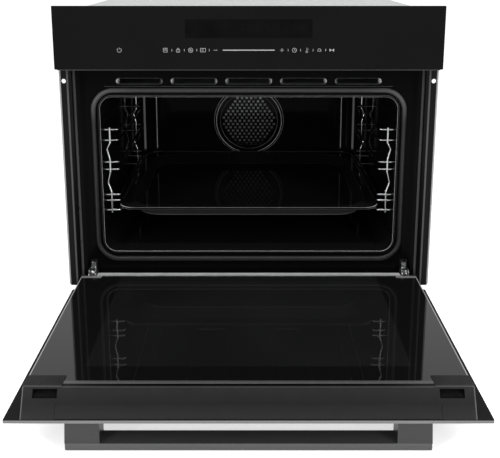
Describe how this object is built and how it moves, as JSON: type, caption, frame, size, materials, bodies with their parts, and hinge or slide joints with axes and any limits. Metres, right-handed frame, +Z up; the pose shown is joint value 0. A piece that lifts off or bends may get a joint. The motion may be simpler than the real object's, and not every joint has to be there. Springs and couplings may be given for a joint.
{
  "type": "wall oven",
  "caption": "Compact built-in electric oven with a drop-down glass door, touch control panel, enamelled convection cavity, wire side racks and a baking tray.",
  "frame": {"origin": "on the underside of the casing, at mid-width, in the plane where the side flanges meet the front of the niche", "axes": "+X to the right seen from the front, +Y back into the niche, +Z up; the door lies open towards -Y at rest"},
  "size_m": [0.595, 0.8796, 0.5326],
  "materials": {
    "black_glass": "polished black-backed glass",
    "pane_glass": "polished, reflective coated",
    "clear_glass": "pressed glass",
    "black_enamel": "glossy vitreous enamel",
    "frame_enamel": "semi-gloss enamel",
    "trim_black": "satin powder coat",
    "chrome_wire": "polished",
    "dark_steel": "dark brushed",
    "zinc_sheet": "galvanised",
    "zinc_forged": "zinc plated",
    "steel_part": "plain steel",
    "heater_tube": "heat-tinted",
    "cap_plastic": "satin moulded",
    "board_plastic": "moulded",
    "board": "soldered board",
    "gasket_rubber": "woven glass-fibre and silicone tube",
    "mineral_wool": "mineral wool",
    "ceramic_white": "steatite",
    "fan_metal": "stamped"
  },
  "bodies": {
    "oven": {"front_frame": "frame_enamel", "vent_nozzles": "zinc_sheet", "side_trim_left": "trim_black", "side_trim_right": "trim_black", "control_panel_glass": "black_glass", "control_panel_carrier": "board_plastic", "touch_board": "board", "cavity_liner": "black_enamel", "door_gasket": "gasket_rubber", "fan_cover": "black_enamel", "fan_cover_screws": "black_enamel", "fan_chamber": "zinc_sheet", "ring_heater": "heater_tube", "grill_heater": "heater_tube", "bottom_heater": "heater_tube", "rack_left": "chrome_wire", "rack_right": "chrome_wire", "lamp_housing": "ceramic_white", "lamp_bulb": "clear_glass", "lamp_lens": "clear_glass", "temperature_probe": "steel_part", "insulation": "mineral_wool", "casing_bottom": "zinc_sheet", "casing_left": "zinc_sheet", "casing_right": "zinc_sheet", "casing_top": "zinc_sheet", "casing_back": "zinc_sheet", "casing_screws": "steel_part", "convection_motor": "steel_part", "air_duct": "zinc_sheet", "blower_housing": "zinc_sheet", "blower_motor": "steel_part", "control_unit": "board_plastic", "terminal_block": "ceramic_white", "cable_gland": "board_plastic", "hinge_receiver_left": "zinc_forged", "hinge_receiver_right": "zinc_forged", "hinge_arm_left": "zinc_forged", "hinge_arm_right": "zinc_forged"},
    "door": {"door_outer_glass": "black_glass", "door_middle_pane": "pane_glass", "door_inner_pane": "pane_glass", "door_side_profile_left": "trim_black", "door_side_profile_right": "trim_black", "door_top_cap": "cap_plastic", "door_bottom_profile": "dark_steel", "hinge_channel_left": "zinc_forged", "hinge_channel_right": "zinc_forged", "hinge_pins": "steel_part", "hinge_springs": "steel_part", "handle_bar": "dark_steel", "handle_post_left": "dark_steel", "handle_post_right": "dark_steel", "handle_screws": "steel_part"},
    "hinge_rods": {"hinge_rods": "steel_part"},
    "convection_fan": {"convection_fan": "fan_metal", "convection_fan_nut": "steel_part"},
    "cooling_fan": {"blower_wheel": "fan_metal"},
    "tray": {"baking_tray": "black_enamel"}
  },
  "joints": [
    {"name": "door_hinge", "type": "hinge", "parent": "oven", "child": "door", "pos_m": [0, 0.017, 0.0134], "axis": [-1, 0, 0], "range_deg": [0, 90]},
    {"name": "hinge_rod_slide", "type": "slide", "parent": "door", "child": "hinge_rods", "axis": [0, -1, 0], "range_m": [0, 0.0145]},
    {"name": "convection_fan_spin", "type": "hinge", "parent": "oven", "child": "convection_fan", "pos_m": [0, 0.45, 0.184], "axis": [0, -1, 0], "continuous": true},
    {"name": "cooling_fan_spin", "type": "hinge", "parent": "oven", "child": "cooling_fan", "pos_m": [0, 0.232, 0.38], "axis": [0, 0, 1], "continuous": true},
    {"name": "tray_slide", "type": "slide", "parent": "oven", "child": "tray", "axis": [0, -1, 0], "range_m": [0, 0.014]}
  ],
  "couplings": [
    {"joint": "hinge_rod_slide", "follows": "door_hinge", "m_per_rad": 0.009}
  ]
}
